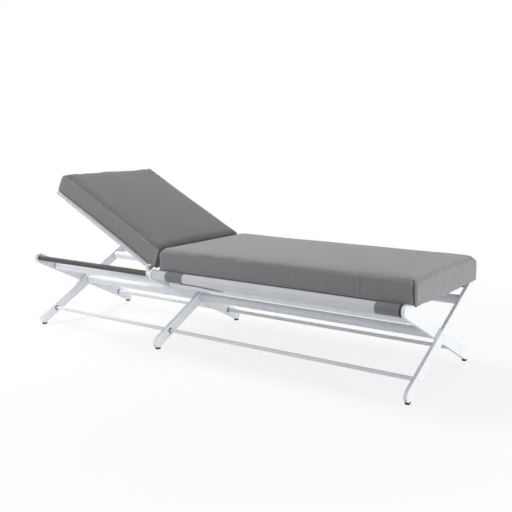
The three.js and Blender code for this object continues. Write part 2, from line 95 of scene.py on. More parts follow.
class Mix:
    """The nodes of a material or the world."""

    def __init__(self, holder):
        holder.use_nodes = True
        self.tree = holder.node_tree
        self.tree.nodes.clear()

    def node(self, kind, settings={}, sockets={}, out=0):
        """Adds a node, sets it, gives its sockets values or links, and returns one output."""
        made = self.tree.nodes.new(kind)
        for key, value in settings.items():
            setattr(made, key, value)
        for key, value in sockets.items():
            if isinstance(value, Tone):
                self.tree.links.new(value.socket, made.inputs[key])
            else:
                made.inputs[key].default_value = value
        return Tone(self, made.outputs[out]) if made.outputs else made

    def seen(self):
        """1 for rays from the camera, a mirror or glass, and 0 for rays that carry light."""
        path = [self.node("ShaderNodeLightPath", out=kind)
                for kind in ("Is Camera Ray", "Is Glossy Ray", "Is Transmission Ray")]
        return path[0].most(path[1]).most(path[2])

    def blend(self, share, one, other):
        """The first colour where share is 0, the other where it is 1."""
        return self.node("ShaderNodeMix", {"data_type": "RGBA"}, {0: share, 6: one, 7: other}, 2)

    def noise(self, where, scale, detail=2.0, roughness=0.5):
        return self.node("ShaderNodeTexNoise", {}, {
            "Vector": where, "Scale": scale, "Detail": detail, "Roughness": roughness})

    def stretched(self, where, scale):
        return self.node("ShaderNodeMapping", {}, {"Vector": where, "Scale": scale})

    def here(self):
        return self.node("ShaderNodeTexCoord", out="Object")


class Finish(Mix):
    """A material with one Principled shader, whose fixed sockets are named in a dict."""

    def __init__(self, name, fixed={}):
        self.material = bpy.data.materials.new(name)
        super().__init__(self.material)
        self.shader = self.tree.nodes.new("ShaderNodeBsdfPrincipled")
        self.node("ShaderNodeOutputMaterial", {}, {"Surface": Tone(self, self.shader.outputs[0])})
        self.give(fixed)

    def give(self, sockets):
        for key, value in sockets.items():
            if isinstance(value, Tone):
                self.tree.links.new(value.socket, self.shader.inputs[key])
            else:
                self.shader.inputs[key].default_value = value
        return self

    def raised(self, height, distance, strength=1.0):
        """Relief: the height, which is from 0 to 1, stands up by distance metres."""
        return self.give({"Normal": self.node("ShaderNodeBump", {}, {
            "Height": height, "Distance": distance, "Strength": strength})})


def ink(red, green, blue, dim=1.0):
    """A colour of 0 to 255 as a picture holds it, in light values."""
    share = np.array([red, green, blue]) / 255
    light = np.where(share > 0.04045, ((share + 0.055) / 1.055) ** 2.4, share / 12.92) * dim
    return (*light.tolist(), 1.0)


ground = Mix(bpy.data.materials.new("studio floor"))
far_off = ground.node("ShaderNodeVectorMath", {"operation": "LENGTH"}, {0: ground.here()}, "Value")
glow = ground.node("ShaderNodeEmission", {}, {"Color": (1, 1, 1, 1), "Strength": 1.0})
lit = ground.node("ShaderNodeBsdfDiffuse", {}, {"Color": (0.88, 0.88, 0.88, 1)})
bright = ground.node("ShaderNodeBsdfDiffuse", {}, {"Color": (1, 1, 1, 1)})
shown = ground.node("ShaderNodeMixShader", {}, {0: far_off.between(0.9, 2.2) * 0.2 + 0.8, 1: bright, 2: glow})
ground.node("ShaderNodeOutputMaterial", {}, {"Surface": ground.node(
    "ShaderNodeMixShader", {}, {0: ground.seen(), 1: lit, 2: shown})})
floor_mesh = bpy.data.meshes.new("studio_floor")
floor_reach, floor_z = 20, -0.001
floor_corners = [(x * floor_reach, y * floor_reach, floor_z) for x, y in ((-1, -1), (1, -1), (1, 1), (-1, 1))]
floor_mesh.from_pydata(floor_corners, [], [(0, 1, 2, 3)])
floor_mesh.materials.append(bpy.data.materials["studio floor"])
studio_floor = bpy.data.objects.new("studio_floor", floor_mesh)
scene.collection.objects.link(studio_floor)

scene.world = bpy.data.worlds.new("studio")
air = Mix(scene.world)
white_seen = air.node("ShaderNodeBackground", {}, {"Color": (1, 1, 1, 1), "Strength": 1.0})
soft_light = air.node("ShaderNodeBackground", {}, {"Color": (1, 1, 1, 1), "Strength": 0.31})
air.node("ShaderNodeOutputWorld", {}, {"Surface": air.node(
    "ShaderNodeMixShader", {}, {0: air.seen(), 1: soft_light, 2: white_seen})})


def softbox(name, place, target, width, height, power):
    """A large lamp at a place, facing a target."""
    light = bpy.data.lights.new(name, "AREA")
    light.shape, light.size, light.size_y, light.energy = "RECTANGLE", width, height, power
    lamp = bpy.data.objects.new(name, light)
    way = Vector(target) - Vector(place)
    lamp.matrix_world = Matrix.Translation(place) @ way.to_track_quat("-Z", "Y").to_matrix().to_4x4()
    scene.collection.objects.link(lamp)


softbox("high head softbox", (-3.8, 0.4, 5.4), (0.3, 0.0, 0.4), 3.0, 3.0, 270)
softbox("low head softbox", (-2.0, -2.6, 1.2), (-0.8, -0.2, 0.4), 1.6, 1.6, 24)
softbox("high foot softbox", (3.0, -0.3, 1.9), (0.9, 0.0, 0.4), 1.8, 1.8, 3)
softbox("low foot softbox", (9.5, -0.2, 1.0), (0.0, -0.1, 0.2), 3.2, 1.8, 440)


# Crossed legs: six flat aluminium bars with round ends, cut from plate, eased along their
# arrises and powder coated white. Two cross in each frame and are bolted at the crossing; the
# coat is scuffed a little near the floor.
head_x, mid_x, foot_x = -0.981, -0.217, 0.970
rail_y, rail_z = 0.299, 0.3325
foot_y, foot_z = 0.299, 0.031
leg_width, leg_thickness, leg_gap, leg_arris = 0.048, 0.015, 0.002, 0.0018


def shell(name, rings, finish, ends=True, sharp=32.0, unrolled=None):
    """A closed skin over rings x points places. Each ring is joined to the next with squares,
    round to its first point again, and both end rings are closed with triangles to their middles.
    With ends False the first and last ring are joined instead. Faces are turned outwards by the
    sign of the volume that they enclose; arrises over sharp degrees stay crisp."""
    count, around = rings.shape[:2]
    places = rings.reshape(-1, 3)
    turn = np.arange(around)
    rows = np.arange(count - 1 if ends else count)[:, None]
    here, there = rows * around, (rows + 1) % count * around
    onward = (turn + 1) % around
    faces = np.stack([here + turn, here + onward, there + onward, there + turn], -1).reshape(-1, 4).tolist()
    if ends:
        last = (count - 1) * around
        places = np.vstack([places, rings[0].mean(0), rings[-1].mean(0)])
        middle = np.full(around, count * around)
        faces += np.stack([onward, turn, middle], -1).tolist()
        faces += np.stack([last + turn, last + onward, middle + 1], -1).tolist()
    return made_of(name, places, faces, finish, sharp, unrolled)


def made_of(name, places, faces, finish, sharp=32.0, unrolled=None):
    """An object from places and faces, turned outwards, with an own map in metres if given."""
    mesh = bpy.data.meshes.new(name)
    mesh.from_pydata(places.tolist(), [], faces)
    mesh.calc_loop_triangles()
    corners = np.empty(3 * len(mesh.loop_triangles), np.int32)
    mesh.loop_triangles.foreach_get("vertices", corners)
    a, b, c = (places[corners.reshape(-1, 3)[:, k]] for k in range(3))
    if np.einsum("ij,ij->", a, np.cross(b, c)) < 0:
        mesh.flip_normals()
    if unrolled is not None:
        order = np.empty(len(mesh.loops), np.int32)
        mesh.loops.foreach_get("vertex_index", order)
        mesh.uv_layers.new(name="weave").data.foreach_set("uv", unrolled[order].astype(np.float32).ravel())
    mesh.shade_smooth()
    mesh.set_sharp_from_angle(angle=math.radians(sharp))
    mesh.materials.append(finish.material)
    piece = bpy.data.objects.new(name, mesh)
    scene.collection.objects.link(piece)
    return piece


def points_of(mesh, what="co"):
    """The places of a mesh's points, or their normals."""
    flat = np.empty(3 * len(mesh.vertices), np.float32)
    mesh.vertices.foreach_get(what, flat)
    return flat.reshape(-1, 3).astype(float)


def put(mesh, places):
    mesh.vertices.foreach_set("co", places.astype(np.float32).ravel())
    mesh.update()


def fix(piece, body, slot, *stands_for):
    """Puts a piece on a body and hides the nodes that it stands for. Its slot is not used."""
    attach(piece, body)
    if stands_for:
        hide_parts(*stands_for)
    return piece


def eased(half, radius, steps=4):
    """(inset, height) pairs from a plate's one face to its other: a quarter circle at each
    arris, and one more ring further in so that the faces stay flat."""
    angle = np.linspace(0, math.pi / 2, steps + 1)
    quarter = np.stack([radius * (1 - np.sin(angle)), -half + radius * (1 - np.cos(angle))], -1)
    quarter = np.vstack([[radius * 2.2, -half], quarter])
    return np.vstack([quarter, quarter[::-1] * [1, -1]])


def round_ended_bar(name, one, other, facing, radius, thickness, arris, finish, steps=28):
    """A flat bar: its outline is two half circles about its ends one and other, and each ring
    of its skin is that outline moved in and across as the eased arrises ask."""
    one, other, facing = (np.array(v, float) for v in (one, other, facing))
    along = (other - one) / np.linalg.norm(other - one)
    across = np.cross(facing, along)
    turn = np.linspace(-math.pi / 2, math.pi / 2, steps + 1)[:, None]
    round_end = np.cos(turn) * along + np.sin(turn) * across
    outline_way = np.vstack([round_end, -round_end])
    outline_middle = np.vstack([np.repeat([other], steps + 1, 0), np.repeat([one], steps + 1, 0)])
    profile = eased(thickness / 2, arris)
    rings = (outline_middle + (radius - profile[:, :1, None]) * outline_way
             + profile[:, 1:, None] * facing)
    return shell(name, rings, finish)


powder_coat = Finish("white powder coat", {"Metallic": 0.0, "IOR": 1.5})
on_coat = powder_coat.here()
peel = powder_coat.noise(on_coat, 950.0, 2.0)
cloudy = powder_coat.noise(on_coat, 5.0, 3.0)
height_up = powder_coat.node("ShaderNodeSeparateXYZ", {}, {0: on_coat}, "Z")
scuffs = powder_coat.noise(powder_coat.stretched(on_coat, (60, 60, 340)), 1.0, 5.0, 0.7).between(0.6, 0.72)
scuffs = scuffs * (1 - height_up.between(0.015, 0.10)) * 0.55
coat_colour = powder_coat.blend(cloudy.between(0.3, 0.7), ink(239, 243, 247), ink(243, 246, 250))
powder_coat.give({
    "Base Color": powder_coat.blend(scuffs, coat_colour, ink(196, 198, 200)),
    "Roughness": cloudy * 0.08 + 0.36 + scuffs * 0.2,
}).raised(peel + scuffs * -0.8, 0.00012, 0.35)

bar_side = {"a": -1, "b": 1}
frame_x = {"head": head_x, "mid": mid_x, "foot": foot_x}
for end, x in frame_x.items():
    for bar, side in bar_side.items():
        middle = x + side * (leg_gap + leg_thickness) / 2
        leg = round_ended_bar(f"white_leg_{bar}_{end}", (middle, side * rail_y, rail_z),
                              (middle, -side * foot_y, foot_z), (1, 0, 0), leg_width / 2, leg_thickness,
                              leg_arris, powder_coat)
        fix(leg, "root", "white_frame", f"leg_{bar}_{end}")


# Glides: black rubber shoes pressed under the round leg ends, flat where they stand. The CAD
# pieces keep their shape and take a dusty moulded rubber.
rubber = Finish("black glide rubber", {"IOR": 1.5})
on_rubber = rubber.here()
dust = rubber.noise(on_rubber, 130.0, 4.0, 0.65).between(0.45, 0.8)
rubber.give({
    "Base Color": rubber.blend(dust, ink(27, 28, 30), ink(66, 66, 66)),
    "Roughness": dust * 0.2 + 0.62,
}).raised(rubber.noise(on_rubber, 1400.0, 2.0), 0.0001, 0.4)


def dress(finish, *names):
    """Gives CAD nodes that stay a new finish."""
    for name in names:
        nodes[name].data.materials.clear()
        nodes[name].data.materials.append(finish.material)


dress(rubber, *[f"{side}_glide_{end}" for side in ("near", "far") for end in frame_x])


# Frame pivots: a nylon washer between the two bars of each frame, and a low domed cap nut on
# the outer face of each end frame, screwed on to the centre tube's stud.
nylon = Finish("off-white nylon", {"IOR": 1.53})
on_nylon = nylon.here()
nylon.give({
    "Base Color": nylon.blend(nylon.noise(on_nylon, 60.0), ink(214, 215, 212), ink(228, 229, 227)),
    "Roughness": nylon.noise(on_nylon, 400.0) * 0.15 + 0.45,
}).raised(nylon.noise(on_nylon, 1200.0), 0.00008, 0.3)
dress(nylon, *[f"pivot_washer_{end}" for end in frame_x])


def turned(name, profile, base, way, finish, steps=48, sharp=32.0):
    """A piece turned on a lathe: each pair (distance along the way from base, radius) of its
    profile is one ring round that line."""
    way = np.array(way, float) / np.linalg.norm(way)
    side = np.cross(way, [0.0, 0.0, 1.0] if abs(way[2]) < 0.9 else [0.0, 1.0, 0.0])
    side /= np.linalg.norm(side)
    angle = 2 * math.pi * np.arange(steps)[:, None] / steps
    spoke = np.cos(angle) * side + np.sin(angle) * np.cross(side, way)
    profile = np.array(profile, float)
    rings = np.array(base, float) + profile[:, :1, None] * way + profile[:, 1:, None] * spoke
    return shell(name, rings, finish, sharp=sharp)


def capped(radius, height, dome):
    """Profile of a cap nut: a straight rim, then a dome that flattens towards its middle."""
    angle = np.linspace(0, math.pi / 2, 8)[:-1]
    top = np.stack([height - dome + dome * np.sin(angle), radius * np.cos(angle)], -1)
    return np.vstack([[0, radius], top])


cross_z = foot_z + (rail_z - foot_z) * foot_y / (rail_y + foot_y)
outer = leg_thickness + leg_gap / 2
cap_gap = 0.0002
for end, x, way in (("head", head_x - outer, -1), ("foot", foot_x + outer, 1)):
    nut = turned(f"white_pivot_cap_{end}", capped(0.008, 0.0028, 0.0018), (x + way * cap_gap, 0, cross_z),
                 (way, 0, 0), powder_coat)
    fix(nut, "root", "white_frame", f"pivot_nut_{end}")


# Cross tubes: a white centre tube and two white upper tubes join the frames in each bay, and a
# slim rod on each side ties the leg bottoms. Upper tubes stand on spigots behind black spacers,
# and low white caps cover every stud and screw on the outer faces of the end frames.
leg_run, leg_fall = rail_y + foot_y, rail_z - foot_z
leg_slope = math.hypot(leg_run, leg_fall)
tube_radius, end_gap = 0.019, 0.0003
bays = {"near": {"head": (-0.982, -0.233), "foot": (-0.218, 0.954)},
        "far": {"head": (-0.965, -0.216), "foot": (-0.201, 0.971)},
        "centre": {"head": (-0.965, -0.233), "foot": (-0.201, 0.954)}}


def tube_profile(length, radius, chamfer=0.0008):
    return [(0, radius - chamfer), (chamfer, radius), (length - chamfer, radius), (length, radius - chamfer)]


def tube_along(name, start, stop, y, z, radius, finish):
    """A straight tube along X that ends a hair before the bars that it is screwed to."""
    profile = tube_profile(stop - start - 2 * end_gap, radius)
    return turned(name, profile, (start + end_gap, y, z), (1, 0, 0), finish)


plastic = Finish("black moulded plastic", {"IOR": 1.5})
on_plastic = plastic.here()
plastic.give({
    "Base Color": plastic.blend(plastic.noise(on_plastic, 90.0, 3.0), ink(26, 27, 29), ink(38, 39, 41)),
    "Roughness": plastic.noise(on_plastic, 300.0) * 0.15 + 0.42,
}).raised(plastic.noise(on_plastic, 1500.0), 0.00008, 0.3)


def collar(name, base, way, bore, radius, length, steps=32, arris=0.0007):
    """A ring round a line along X: bore, arrises and rim are circles, closed into a loop."""
    profile = np.array([(0, bore), (0, radius - arris), (arris, radius), (length - arris, radius),
                        (length, radius - arris), (length, bore)])
    angle = 2 * math.pi * np.arange(steps)[:, None] / steps
    spoke = np.cos(angle) * [0, 1, 0] + np.sin(angle) * [0, 0, 1]
    rings = np.array(base) + profile[:, :1, None] * [way, 0, 0] + profile[:, 1:, None] * spoke
    return shell(name, rings, plastic, ends=False)


for end in ("head", "foot"):
    tube = tube_along(f"white_centre_tube_{end}", *bays["centre"][end], 0, cross_z, tube_radius, powder_coat)
    fix(tube, "root", "white_frame", f"centre_tube_{end}")

upper_drop, tie_rise, tie_radius = 0.115, 0.084, 0.008
spigot, spigot_tip, spigot_radius, chamfer = 0.004, 0.0088, 0.009, 0.0008
spacer_bore, spacer_radius, spacer_length = 0.0093, 0.0125, 0.0033
rod_bore, rod_collar_radius, rod_collar_length = 0.0083, 0.0115, 0.0024
cap_height, cap_dome = 0.0022, 0.0015
for side, sign in (("near", -1), ("far", 1)):
    upper_y = sign * (rail_y - upper_drop * leg_run / leg_slope)
    upper_z = rail_z - upper_drop * leg_fall / leg_slope
    for end in ("head", "foot"):
        start, stop = bays[side][end]
        length = stop - start - 2 * end_gap
        tip = [(0, spigot_tip), (spigot, spigot_radius),
               (spigot, tube_radius - chamfer), (spigot + chamfer, tube_radius)]
        profile = tip + [(length - along, radius) for along, radius in tip[::-1]]
        tube = turned(f"white_{side}_upper_tube_{end}", profile, (start + end_gap, upper_y, upper_z), (1, 0, 0),
                      powder_coat)
        fix(tube, "root", "white_frame", f"{side}_upper_tube_{end}")
        for place, way, name in ((start + 0.0004, 1, "head_side"), (stop - 0.0004, -1, "foot_side")):
            fix(collar(f"black_{side}_{end}_spacer_{name}", (place, upper_y, upper_z), way,
                       spacer_bore, spacer_radius, spacer_length), "root", "black_plastic")
    tie_y = sign * (foot_y - tie_rise * leg_run / leg_slope)
    tie_z = foot_z + tie_rise * leg_fall / leg_slope
    low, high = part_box(f"{side}_tie_rod")
    tube = turned(f"white_{side}_tie_rod", tube_profile(high.x - low.x, tie_radius, 0.001), (low.x, tie_y, tie_z),
                  (1, 0, 0), powder_coat)
    fix(tube, "root", "white_frame", f"{side}_tie_rod")
    top_bar, foot_bar = ("a", "b") if side == "near" else ("b", "a")
    for name, bar, y, z, radius in (("rail", top_bar, sign * rail_y, rail_z, 0.0075),
                                    ("tube", top_bar, upper_y, upper_z, 0.0065),
                                    ("rod", foot_bar, tie_y, tie_z, 0.0095)):
        for end, x, way in (("head", head_x, -1), ("foot", foot_x, 1)):
            face_x = x + way * (outer if bar_side[bar] == way else -leg_gap / 2)
            cap = turned(f"white_{side}_{end}_{name}_cap", capped(radius, cap_height, cap_dome),
                         (face_x + way * cap_gap, y, z), (way, 0, 0), powder_coat, 28)
            fix(cap, "root", "white_frame")
    for end, face in (("head", bays["far"]["head"][0]), ("mid", bays["far"]["foot"][0])):
        inner_face = face if side == "near" else face - leg_thickness - leg_gap
        fix(collar(f"black_{side}_{end}_rod_collar", (inner_face + end_gap, tie_y, tie_z), 1,
                   rod_bore, rod_collar_radius, rod_collar_length), "root", "black_plastic")


# Rails: the seat rails are white tubes inside the sling's sleeves, and the thinner head rails
# are graphite-coloured anodised tubes, brushed lengthways, that carry the hinges.
graphite = Finish("graphite anodised tube", {"Metallic": 0.15, "IOR": 1.5, "Specular IOR Level": 0.25})
on_graphite = graphite.here()
lines = graphite.noise(graphite.stretched(on_graphite, (6, 1500, 1500)), 1.0, 3.0, 0.6)
graphite.give({
    "Base Color": graphite.blend(lines, ink(68, 70, 73), ink(84, 86, 89)),
    "Roughness": lines * 0.14 + 0.28,
}).raised(lines, 0.00006, 0.4)
rail_kinds = (("head", "head", 0.0125, graphite, "graphite", "graphite_rail"),
              ("seat", "foot", tube_radius, powder_coat, "white", "white_frame"))
for side, sign in (("near", -1), ("far", 1)):
    for name, bay, radius, finish, colour, slot in rail_kinds:
        tube = tube_along(f"{colour}_{side}_{name}_rail", *bays[side][bay], sign * rail_y, rail_z, radius, finish)
        fix(tube, "root", slot, f"{side}_{name}_rail")


# Seat sling: one length of pale coated mesh. Each long edge goes over its rail, round below it
# and back under the sling, where a hem is sewn on; between the rails it sags. Black plastic
# rings keep the sleeves from creeping towards the foot legs.
def cloth_maps(finish):
    """The piece's own map: metres round the section, and metres along it."""
    flat = finish.node("ShaderNodeUVMap", {"uv_map": "weave"})
    return [finish.node("ShaderNodeSeparateXYZ", {}, {0: flat}, axis) for axis in ("X", "Y")]


def plain_weave(u, v, pitch):
    """Height of a plain weave: two sets of rounded threads cross, and which one is on top
    changes from square to square."""
    across, along = (u * (math.pi / pitch)).sine(), (v * (math.pi / pitch)).sine()
    over = (across * along) > 0
    return abs(along) * over + abs(across) * (1 - over)


def woven(name, dark, light, pitch, relief, fixed):
    """A woven fabric: threads from the weave's height, yarn flecks and slow clouds in colour."""
    finish = Finish(name, fixed)
    where = finish.here()
    u, v = cloth_maps(finish)
    threads = plain_weave(u, v, pitch)
    flecks = finish.noise(where, 700.0, 3.0, 0.7)
    clouds = finish.noise(where, 9.0, 3.0, 0.6)
    shade = threads * 0.35 + flecks * 0.4 + clouds * 0.25
    finish.give({
        "Base Color": finish.blend(shade.between(0.15, 0.85), dark, light),
        "Roughness": clouds * 0.1 + 0.82,
    }).raised(threads + flecks * 0.35, relief, 0.5)
    return finish, u, v


def stitched(finish, u, v, *lines):
    """Adds rows of stitches, each 4 mm long with 2 mm between, at distances along the section."""
    thread = 0.0
    for line in lines:
        row = (abs(u - line) < 0.0007) * ((v / 0.006).fraction() < 0.66)
        thread = row + thread
    plain = finish.shader.inputs["Base Color"].links[0].from_socket
    finish.give({"Base Color": finish.blend(thread.least(1.0) * 0.5, Tone(finish, plain), ink(150, 152, 156))})


def strip(name, section, x0, x1, thickness, finish, steps=24):
    """A cloth of even thickness: the points of a section in Y and Z, each carried in X from its
    own start to its own end, give its middle surface, and half the thickness on both sides its
    skins; four strips close its borders. Its map is metres along the section and along X."""
    share = np.linspace(0, 1, steps + 1)[:, None]
    run = x0 + share * (x1 - x0)
    middle = np.stack([run] + [np.broadcast_to(section[:, k], run.shape) for k in range(2)], -1)
    normals = outward_of(section)
    away = np.stack([np.zeros(len(section)), normals[:, 0], normals[:, 1]], -1) * thickness / 2
    rows, columns = run.shape
    places = np.vstack([(middle + away).reshape(-1, 3), (middle - away).reshape(-1, 3)])
    i, j = (g.ravel() for g in np.meshgrid(np.arange(rows - 1), np.arange(columns - 1), indexing="ij"))
    a = i * columns + j
    top = np.stack([a, a + columns, a + columns + 1, a + 1], -1)
    low = np.stack([a + 1, a + columns + 1, a + columns, a], -1) + rows * columns
    edge = np.concatenate([np.arange(columns - 1), np.arange(rows - 1) * columns + columns - 1,
                           (rows - 1) * columns + np.arange(columns - 1, 0, -1),
                           np.arange(rows - 1, 0, -1) * columns])
    onward = np.roll(edge, -1)
    border = np.stack([edge, onward, onward + rows * columns, edge + rows * columns], -1)
    length = np.concatenate([[0], np.cumsum(np.linalg.norm(np.diff(section, axis=0), axis=1))])
    unrolled = np.stack([np.broadcast_to(length, run.shape), run], -1).reshape(-1, 2)
    faces = np.vstack([top, low, border]).tolist()
    return made_of(name, places, faces, finish, 50.0, np.vstack([unrolled, unrolled]))


def outward_of(section):
    """The normals of a section: its direction turned by a quarter turn."""
    way = np.gradient(section, axis=0)
    way /= np.linalg.norm(way, axis=1)[:, None]
    return np.stack([-way[:, 1], way[:, 0]], -1)


def sling_section(y, z, radius, middle_z, lap, hem):
    """Half a sling's section, from its hem to the middle: under the sling and outwards, a
    rounded turn down to the rail's inner side, a circle below, outside and over the rail, then a
    parabola that leaves the circle without a bend and is level in the middle."""
    leave = math.radians(83.4)
    top_y, top_z = y + radius * math.cos(leave), z + radius * math.sin(leave)
    sag = lambda at: middle_z + (top_z - middle_z) * (at / top_y) ** 2
    turn = y + radius + 0.75 * radius
    layer = np.linspace(turn + hem, turn, 5)
    under = np.stack([layer, sag(layer) - lap], -1)
    join = math.radians(5)
    p0, p3 = under[-1], np.array([y + radius * math.cos(join), z + radius * math.sin(join)])
    p1 = p0 + np.array([-0.6 * radius, sag(p0[0] - 0.6 * radius) - sag(p0[0])])
    p2 = p3 + 0.45 * radius * np.array([-math.sin(join), math.cos(join)])
    t = np.linspace(0, 1, 13)[1:-1, None]
    bend = (1 - t) ** 3 * p0 + 3 * t * (1 - t) ** 2 * p1 + 3 * t ** 2 * (1 - t) * p2 + t ** 3 * p3
    angle = np.linspace(join, leave - 2 * math.pi, 60)
    circle = np.stack([y + radius * np.cos(angle), z + radius * np.sin(angle)], -1)
    across = np.linspace(top_y, 0, 26)[1:]
    return np.vstack([under, bend, circle, np.stack([across, sag(across)], -1)])


def whole_section(half):
    """The near half of a section, and its mirror image from the middle out."""
    return np.vstack([half, half[-2::-1] * [-1, 1]])


def girth_of(section):
    return float(np.linalg.norm(np.diff(section, axis=0), axis=1).sum())


pale_yarn = (ink(204, 206, 211), ink(222, 224, 228))
sling_pitch, sling_relief, sling_sheen = 0.0012, 0.0002, {"Sheen Weight": 0.1, "IOR": 1.45}
sling_cloth, sling_u, sling_v = woven("pale sling mesh", *pale_yarn, sling_pitch, sling_relief, sling_sheen)
sleeve_box = {side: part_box(f"{side}_sling_sleeve") for side in ("near", "far")}
sling_wall, sleeve_radius, sling_middle_z, hem, layer_gap = 0.0017, 0.0210, 0.3344, 0.012, 0.0001
section = whole_section(sling_section(-rail_y, rail_z, sleeve_radius - sling_wall / 2, sling_middle_z,
                                      sling_wall + layer_gap, hem))
share = np.clip(section[:, 0] / rail_y * 0.5 + 0.5, 0, 1)
sling_start, sling_stop = (sleeve_box["near"][k].x * (1 - share) + sleeve_box["far"][k].x * share for k in (0, 1))
sling_girth = girth_of(section)
stitched(sling_cloth, sling_u, sling_v, 0.004, 0.010, sling_girth - 0.004, sling_girth - 0.010)
seat_sling = strip("pale_seat_sling", section, sling_start, sling_stop, sling_wall, sling_cloth, 48)
fix(seat_sling, "root", "sling_fabric", "seat_sling", "near_sling_sleeve", "far_sling_sleeve")

ring_bore, ring_radius = 0.0194, 0.023
for side, sign in (("near", -1), ("far", 1)):
    low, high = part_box(f"{side}_end_ring")
    ring = collar(f"black_{side}_end_ring", (low.x, sign * rail_y, rail_z), 1, ring_bore, ring_radius,
                  high.x - low.x, 64)
    fix(ring, "root", "black_plastic", f"{side}_end_ring")


# Back frame: two white side tubes and three bars, turned up from the hinges. Its sling goes
# round the side tubes and is sewn down below them with two rows of stitches on each side.
tilt = math.radians(27.5)
hinge_x, hinge_z = mid_x - 0.028, 0.3595


def rise(t):
    """0 below 0, 1 above 1, and a smooth step between."""
    t = np.clip(t, 0, 1)
    return t * t * (3 - 2 * t)


def leaned(places):
    """Places of the flat backrest, measured from the hinge axis, turned up and moved to it."""
    turn = np.array([[math.cos(tilt), 0, math.sin(tilt)], [0, 1, 0], [-math.sin(tilt), 0, math.cos(tilt)]])
    return places @ turn.T + [hinge_x, 0, hinge_z]


def lean(piece):
    """Turns a piece made flat up to the backrest's place."""
    put(piece.data, leaned(points_of(piece.data)))
    return piece


back_tube_y, back_length, knuckle_reach = 0.296, 0.655, 0.0098
back_tube_radius, back_bar_radius, back_sleeve_radius = 0.007, 0.006, 0.0085
for side, sign in (("near", -1), ("far", 1)):
    tube = lean(turned(f"white_{side}_back_tube", tube_profile(back_length - knuckle_reach, back_tube_radius),
                       (-back_length, sign * back_tube_y, 0), (1, 0, 0), powder_coat))
    fix(tube, "backrest", "white_frame", f"{side}_back_tube")
for name, x, z, radius in (("head", -0.648, 0, back_tube_radius), ("mid", -0.345, -0.003, back_bar_radius),
                           ("foot", -0.040, -0.003, back_bar_radius)):
    reach = back_tube_y - back_sleeve_radius - end_gap
    bar = lean(turned(f"white_back_{name}_bar", tube_profile(2 * reach, radius, 0.0006), (x, -reach, z),
                      (0, 1, 0), powder_coat, 32))
    fix(bar, "backrest", "white_frame", f"back_{name}_bar")

back_cloth, back_u, back_v = woven("pale back sling", *pale_yarn, sling_pitch, sling_relief, sling_sheen)
back_wall, back_middle_z, back_hem = 0.0012, 0.0043, 0.010
section = whole_section(sling_section(-back_tube_y, 0, back_sleeve_radius - back_wall / 2, back_middle_z,
                                      back_wall + layer_gap, back_hem))
back_girth = girth_of(section)
stitched(back_cloth, back_u, back_v, 0.003, 0.008, back_girth - 0.003, back_girth - 0.008)
behind_bar, hinge_clear = 0.6404, 0.024
inside = rise((back_tube_y - 0.0095 - np.abs(section[:, 0])) / 0.010)
back_start = -back_length + (back_length - behind_bar) * inside
back_stop = np.full(len(section), -hinge_clear)
back_sling = lean(strip("pale_back_sling", section, back_start, back_stop, back_wall, back_cloth, 30))
fix(back_sling, "backrest", "sling_fabric", "back_sling", "near_back_sleeve", "far_back_sleeve")


# Hinges: steel knuckles plugged into the side tubes turn on pins through ears clamped to the
# head rails, with toothed washers between. Copies of the CAD pieces, merged and eased.
steel = Finish("brushed hinge steel", {"Metallic": 0.8, "IOR": 1.5})
on_steel = steel.here()
grain = steel.noise(steel.stretched(on_steel, (60, 900, 900)), 1.0, 4.0, 0.6)
steel.give({
    "Base Color": steel.blend(grain, ink(188, 190, 193), ink(212, 214, 217)),
    "Roughness": grain * 0.2 + 0.28,
}).raised(grain, 0.00005, 0.4)


def eased_copy(node, name, finish, width, body, slot):
    """A CAD node's mesh with its doubles merged and a small bevel on its arrises."""
    work = bmesh.new()
    work.from_mesh(nodes[node].data)
    bmesh.ops.remove_doubles(work, verts=work.verts, dist=1e-6)
    bmesh.ops.dissolve_limit(work, angle_limit=math.radians(1), verts=work.verts, edges=work.edges)
    mesh = bpy.data.meshes.new(name)
    work.to_mesh(mesh)
    work.free()
    mesh.shade_smooth()
    mesh.set_sharp_from_angle(angle=math.radians(35))
    mesh.materials.clear()
    mesh.materials.append(finish.material)
    piece = bpy.data.objects.new(name, mesh)
    scene.collection.objects.link(piece)
    bevel = piece.modifiers.new("eased arrises", "BEVEL")
    bevel.width, bevel.segments, bevel.limit_method, bevel.angle_limit = width, 2, "ANGLE", math.radians(40)
    bevel.harden_normals = True
    return fix(piece, body, slot, node)


hinge_pieces = (("knuckle", "knuckle", 0.0006, "backrest"), ("washer", "toothed_washer", 0.0002, "root"),
                ("bracket", "hinge_ear", 0.0006, "root"), ("pin", "hinge_pin", 0.0005, "root"))
for side in ("near", "far"):
    for node, name, width, body in hinge_pieces:
        eased_copy(f"{side}_hinge_{node}", f"steel_{side}_{name}", steel, width, body, "hinge_steel")


# Seat cushion: a loose block cushion of soft foam in grey woven cover fabric, sewn from six
# panels without piping. Its long side panels are painted darker, as painted shade.
# It crowns on top, fills the sling below, and its free foot edge hangs between the legs.
yarn_pitch = 0.0016
cushion_cloth, _, _ = woven("grey cushion weave", ink(138, 138, 141), ink(157, 157, 160), yarn_pitch, 0.00035,
                            {"Sheen Weight": 0.25, "Sheen Roughness": 0.4, "IOR": 1.45})
seam_up, seam_corner, corner_share, corner_tuck, painted_panel_shade = (
    cushion_cloth.node("ShaderNodeAttribute", {"attribute_name": name}, out="Fac")
    for name in ("to_seam", "to_corner", "near_corner", "tuck", "shade"))
cushion_width, cushion_thickness = 0.594, 0.095
plan_corner, top_edge, low_edge, corner_seam, pressed = 0.005, 0.027, 0.005, 0.007, 0.006


